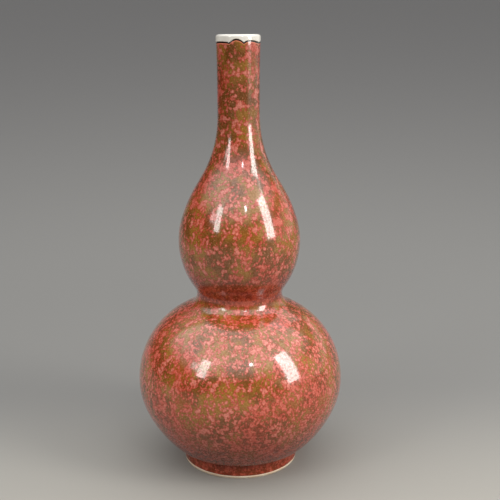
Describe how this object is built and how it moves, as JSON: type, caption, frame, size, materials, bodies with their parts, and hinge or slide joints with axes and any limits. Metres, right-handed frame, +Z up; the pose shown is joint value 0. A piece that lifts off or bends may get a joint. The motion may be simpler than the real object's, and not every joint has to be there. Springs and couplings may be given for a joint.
{
  "type": "double gourd vase",
  "caption": "Double gourd vase in flecked glazed porcelain: a wide lower bulb, a smaller upper bulb and a long slender neck with a white lip, on a turned foot ring.",
  "frame": {"origin": "centre of the foot ring, on the surface the vase stands on", "axes": "+Z up along the axis of the turned form, -Y towards the pictured side, +X to the right as seen from there"},
  "size_m": [0.1448, 0.1448, 0.3],
  "materials": {
    "porcelain_clay": "fired unglazed porcelain, fine and slightly gritty, toasted cream where it is bare",
    "slip": "dried and fired luting slip, matt",
    "flecked_glaze": "glossy, olive brown broken by coral red flecks that branch and run, with a fine grain",
    "white_glaze": "glossy white"
  },
  "bodies": {
    "root": {"lower_bulb_base": "porcelain_clay", "lower_bulb_top": "porcelain_clay", "upper_bulb_base": "porcelain_clay", "upper_bulb_top": "porcelain_clay", "neck": "porcelain_clay", "belly_seam_slip": "slip", "waist_seam_slip": "slip", "upper_bulb_seam_slip": "slip", "neck_seam_slip": "slip", "outer_glaze": "flecked_glaze", "lip_glaze": "white_glaze", "recess_glaze": "white_glaze"}
  },
  "joints": []
}
